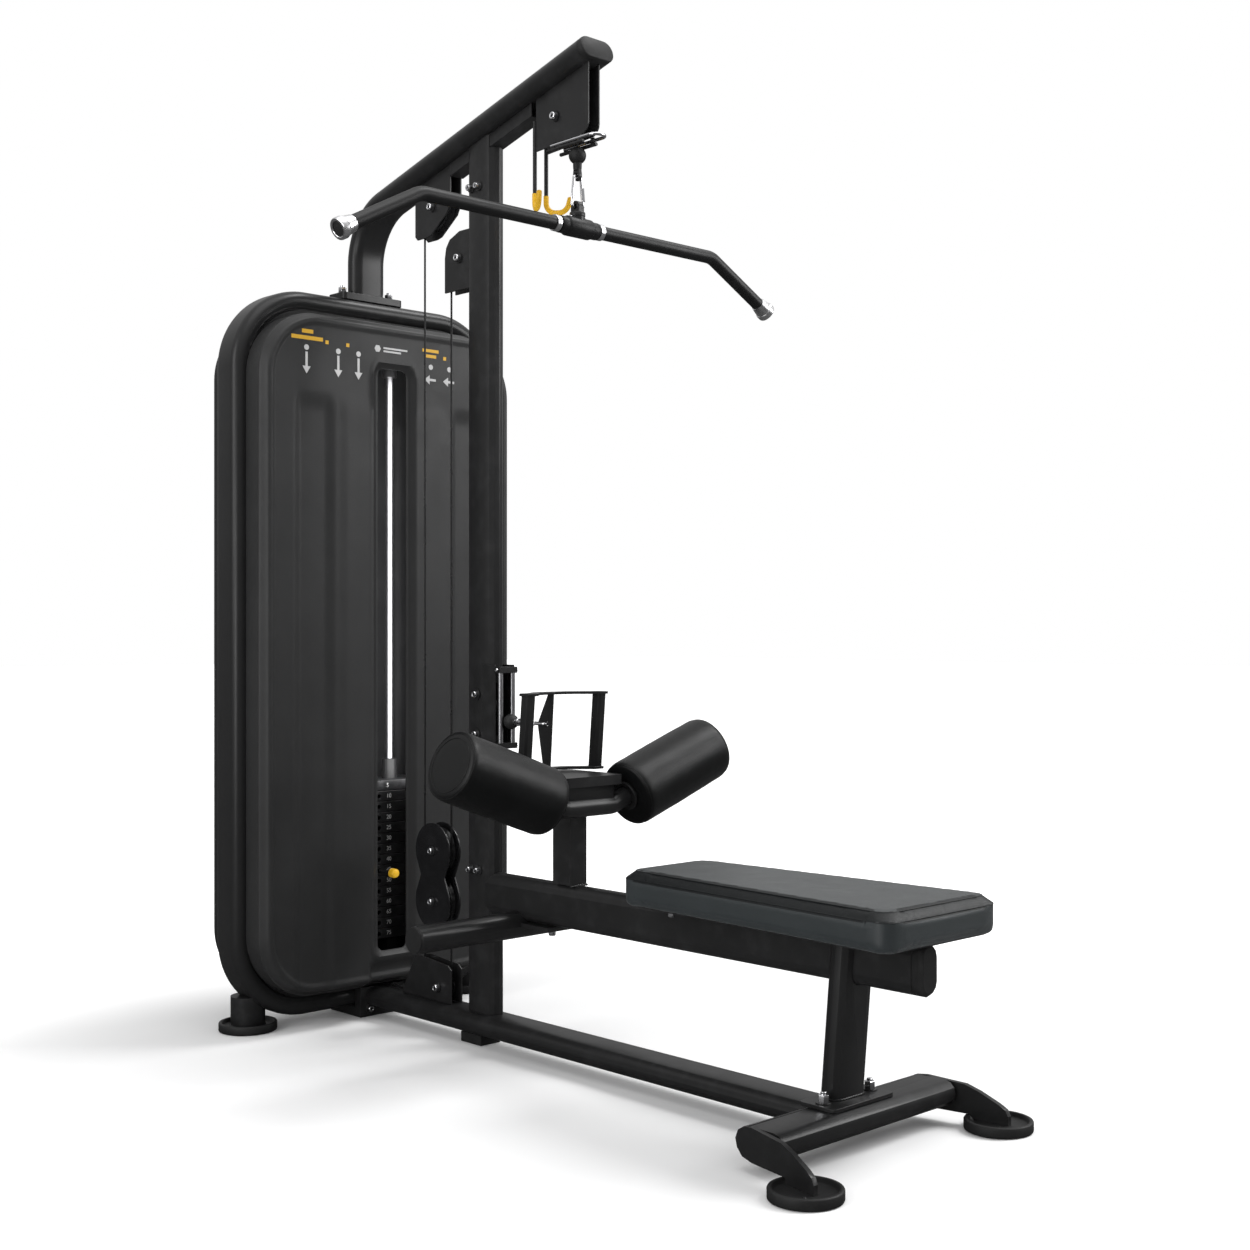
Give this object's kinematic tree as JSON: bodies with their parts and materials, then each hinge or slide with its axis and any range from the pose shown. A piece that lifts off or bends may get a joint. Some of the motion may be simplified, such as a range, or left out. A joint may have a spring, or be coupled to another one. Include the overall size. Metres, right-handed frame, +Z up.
{
  "type": "lat pulldown machine",
  "caption": "Selectorised cable weight machine: an overhead pulldown bar and a low row handle over one bench, with knee rollers, foot brace and a shrouded weight tower.",
  "frame": {"origin": "on the floor under the centre of the machine's bounding box", "axes": "+Z up, +Y from the bench towards the weight tower, +X to the right of a person on the bench who faces the tower"},
  "size_m": [1.2976, 1.952, 2.2968],
  "materials": {
    "bail_link": "polished",
    "bar_swivel": "satin black powder coat",
    "base_bracket": "satin black powder coat",
    "base_rail": "satin black powder coat",
    "boom": "satin black powder coat",
    "boom_end_cap": "black rubber",
    "bottom_pulley_bracket": "satin black powder coat",
    "cable_ball": "black rubber",
    "cable_boom_run": "black nylon-coated steel cable",
    "cable_channel": "satin black powder coat",
    "cable_lat_drop": "black nylon-coated steel cable",
    "cable_lower_loop": "black nylon-coated steel cable",
    "cable_spine": "satin black powder coat",
    "cable_stack": "black nylon-coated steel cable",
    "cable_tower_run": "black nylon-coated steel cable",
    "cable_upper_loop": "black nylon-coated steel cable",
    "cable_upright_run": "black nylon-coated steel cable",
    "floating_block": "satin black powder coat",
    "foot_brace": "satin black powder coat",
    "foot_front_left": "black rubber",
    "foot_front_right": "black rubber",
    "foot_rear_left": "black rubber",
    "foot_rear_right": "black rubber",
    "front_cover": "satin textured charcoal plastic",
    "front_pulley_housing": "satin black powder coat",
    "front_stabiliser": "satin black powder coat",
    "knee_hold_frame": "satin black powder coat",
    "knee_roller_left": "black vinyl-skinned foam",
    "knee_roller_right": "black vinyl-skinned foam",
    "lat_bar": "satin black powder coat",
    "pulley_base": "gloss black nylon",
    "pulley_float_lower": "gloss black nylon",
    "pulley_float_upper": "gloss black nylon",
    "pulley_front": "gloss black nylon",
    "pulley_rear": "gloss black nylon",
    "pulley_row": "gloss black nylon",
    "pulley_tower_base": "gloss black nylon",
    "pulley_tower_top": "gloss black nylon",
    "pulley_upright": "gloss black nylon",
    "rear_cover": "satin textured charcoal plastic",
    "rear_pulley_housing": "satin black powder coat",
    "row_ball": "black rubber",
    "row_handle": "satin black powder coat",
    "row_outlet_bracket": "satin black powder coat",
    "seat_pad": "dark slate upholstery vinyl",
    "seat_post": "satin black powder coat",
    "seat_rail": "satin black powder coat",
    "seat_rail_cap": "black rubber",
    "selector_pin": "yellow",
    "stack_bumpers": "black rubber",
    "stack_guide_rod_left": "polished",
    "stack_guide_rod_right": "polished",
    "tower_frame_left": "satin black powder coat",
    "tower_frame_right": "satin black powder coat",
    "upright": "satin black powder coat",
    "upright_foot": "black rubber",
    "upright_pulley_housing": "satin black powder coat",
    "weight_plates_lifted": "black satin paint",
    "weight_plates_resting": "black satin paint",
    "weight_top_plate": "black satin paint"
  },
  "bodies": {
    "frame": {"base_bracket": "base_bracket", "base_rail": "base_rail", "boom": "boom", "boom_end_cap": "boom_end_cap", "bottom_pulley_bracket": "bottom_pulley_bracket", "cable_boom_run": "cable_boom_run", "cable_channel": "cable_channel", "cable_spine": "cable_spine", "cable_tower_run": "cable_tower_run", "cable_upright_run": "cable_upright_run", "foot_brace": "foot_brace", "foot_front_left": "foot_front_left", "foot_front_right": "foot_front_right", "foot_rear_left": "foot_rear_left", "foot_rear_right": "foot_rear_right", "front_cover": "front_cover", "front_pulley_housing": "front_pulley_housing", "front_stabiliser": "front_stabiliser", "knee_hold_frame": "knee_hold_frame", "rear_cover": "rear_cover", "rear_pulley_housing": "rear_pulley_housing", "row_outlet_bracket": "row_outlet_bracket", "seat_pad": "seat_pad", "seat_post": "seat_post", "seat_rail": "seat_rail", "seat_rail_cap": "seat_rail_cap", "stack_bumpers": "stack_bumpers", "stack_guide_rod_left": "stack_guide_rod_left", "stack_guide_rod_right": "stack_guide_rod_right", "tower_frame_left": "tower_frame_left", "tower_frame_right": "tower_frame_right", "upright": "upright", "upright_foot": "upright_foot", "upright_pulley_housing": "upright_pulley_housing", "weight_plates_resting": "weight_plates_resting"},
    "stack": {"weight_top_plate": "weight_top_plate", "weight_plates_lifted": "weight_plates_lifted", "cable_stack": "cable_stack"},
    "selector_pin": {"selector_pin": "selector_pin"},
    "lat_cable_end": {"cable_lat_drop": "cable_lat_drop"},
    "bar_hanger": {"cable_ball": "cable_ball"},
    "bar_bail": {"bail_link": "bail_link", "bar_swivel": "bar_swivel"},
    "lat_bar": {"lat_bar": "lat_bar"},
    "floating_block": {"floating_block": "floating_block", "cable_upper_loop": "cable_upper_loop", "cable_lower_loop": "cable_lower_loop"},
    "row_end": {"row_ball": "row_ball"},
    "row_handle": {"row_handle": "row_handle"},
    "knee_roller_left": {"knee_roller_left": "knee_roller_left"},
    "knee_roller_right": {"knee_roller_right": "knee_roller_right"},
    "pulley_front": {"pulley_front": "pulley_front"},
    "pulley_rear": {"pulley_rear": "pulley_rear"},
    "pulley_upright": {"pulley_upright": "pulley_upright"},
    "pulley_row": {"pulley_row": "pulley_row"},
    "pulley_base": {"pulley_base": "pulley_base"},
    "pulley_tower_base": {"pulley_tower_base": "pulley_tower_base"},
    "pulley_tower_top": {"pulley_tower_top": "pulley_tower_top"},
    "pulley_float_upper": {"pulley_float_upper": "pulley_float_upper"},
    "pulley_float_lower": {"pulley_float_lower": "pulley_float_lower"}
  },
  "joints": [
    {"name": "stack_lift", "type": "slide", "parent": "frame", "child": "stack", "axis": [0, 0, 1], "range_m": [0, 0.9], "deforming": ["cable_stack"]},
    {"name": "selector_pin_pull", "type": "slide", "parent": "stack", "child": "selector_pin", "axis": [0, -1, 0], "range_m": [0, 0.09]},
    {"name": "lat_bar_pull", "type": "slide", "parent": "frame", "child": "lat_cable_end", "axis": [0, 0, -1], "range_m": [0, 0.9], "deforming": ["cable_lat_drop"]},
    {"name": "lat_bar_turn", "type": "hinge", "parent": "lat_cable_end", "child": "bar_hanger", "pos_m": [0, 0.025, 2.05], "axis": [0, 0, 1], "range_deg": [-60, 60]},
    {"name": "lat_bar_swing", "type": "hinge", "parent": "bar_hanger", "child": "bar_bail", "pos_m": [0, 0.025, 2.004], "axis": [1, 0, 0], "range_deg": [-25, 25]},
    {"name": "lat_bar_roll", "type": "hinge", "parent": "bar_bail", "child": "lat_bar", "pos_m": [0, 0.025, 1.888], "axis": [1, 0, 0], "range_deg": [-30, 30]},
    {"name": "floating_block_lift", "type": "slide", "parent": "frame", "child": "floating_block", "axis": [0, 0, 1], "range_m": [0, 0.45], "deforming": ["cable_upper_loop", "cable_lower_loop"]},
    {"name": "pulley_front_spin", "type": "hinge", "parent": "frame", "child": "pulley_front", "pos_m": [0, 0.0785, 2.146], "axis": [1, 0, 0], "range_deg": [0, 965]},
    {"name": "pulley_rear_spin", "type": "hinge", "parent": "frame", "child": "pulley_rear", "pos_m": [0, 0.5375, 2.024], "axis": [1, 0, 0], "range_deg": [0, 965]},
    {"name": "pulley_float_upper_spin", "type": "hinge", "parent": "floating_block", "child": "pulley_float_upper", "pos_m": [0, 0.5375, 0.442], "axis": [1, 0, 0], "range_deg": [0, 483]},
    {"name": "pulley_float_lower_spin", "type": "hinge", "parent": "floating_block", "child": "pulley_float_lower", "pos_m": [0, 0.5375, 0.317], "axis": [1, 0, 0], "range_deg": [-483, 0]},
    {"name": "pulley_base_spin", "type": "hinge", "parent": "frame", "child": "pulley_base", "pos_m": [0, 0.514, 0.11], "axis": [1, 0, 0], "range_deg": [-1720, 0]},
    {"name": "pulley_tower_base_spin", "type": "hinge", "parent": "frame", "child": "pulley_tower_base", "pos_m": [0, 0.896, 0.11], "axis": [1, 0, 0], "range_deg": [-1720, 0]},
    {"name": "pulley_tower_top_spin", "type": "hinge", "parent": "frame", "child": "pulley_tower_top", "pos_m": [0, 0.886, 1.712], "axis": [1, 0, 0], "range_deg": [-1291, 0]},
    {"name": "row_pull", "type": "slide", "parent": "frame", "child": "row_end", "axis": [0, -0.866, 0.5], "range_m": [0, 0.45]},
    {"name": "row_handle_tilt", "type": "hinge", "parent": "row_end", "child": "row_handle", "pos_m": [0, 0.1275, 0.77], "axis": [-1, 0, 0], "range_deg": [0, 20]},
    {"name": "pulley_upright_spin", "type": "hinge", "parent": "frame", "child": "pulley_upright", "pos_m": [0, 0.4305, 1.882], "axis": [1, 0, 0], "range_deg": [0, 483]},
    {"name": "pulley_row_spin", "type": "hinge", "parent": "frame", "child": "pulley_row", "pos_m": [0, 0.343, 0.804], "axis": [1, 0, 0], "range_deg": [-760, 0]},
    {"name": "knee_roller_left_spin", "type": "hinge", "parent": "frame", "child": "knee_roller_left", "pos_m": [-0.121, -0.009, 0.60892], "axis": [-0.9403, 0, 0.3404], "continuous": true},
    {"name": "knee_roller_right_spin", "type": "hinge", "parent": "frame", "child": "knee_roller_right", "pos_m": [0.121, -0.009, 0.60892], "axis": [0.9403, 0, 0.3404], "continuous": true}
  ],
  "couplings": [
    {"joint": "lat_bar_pull", "follows": "stack_lift", "ratio": 1},
    {"joint": "floating_block_lift", "follows": "stack_lift", "ratio": 0.5},
    {"joint": "pulley_front_spin", "follows": "stack_lift", "rad_per_m": 18.692},
    {"joint": "pulley_rear_spin", "follows": "stack_lift", "rad_per_m": 18.692},
    {"joint": "pulley_float_upper_spin", "follows": "stack_lift", "rad_per_m": 9.3458},
    {"joint": "pulley_float_lower_spin", "follows": "stack_lift", "rad_per_m": -9.3458},
    {"joint": "pulley_base_spin", "follows": "stack_lift", "rad_per_m": -33.333},
    {"joint": "pulley_tower_base_spin", "follows": "stack_lift", "rad_per_m": -33.333},
    {"joint": "pulley_tower_top_spin", "follows": "stack_lift", "rad_per_m": -25},
    {"joint": "pulley_upright_spin", "follows": "row_pull", "rad_per_m": 18.692},
    {"joint": "pulley_row_spin", "follows": "row_pull", "rad_per_m": -29.412}
  ]
}
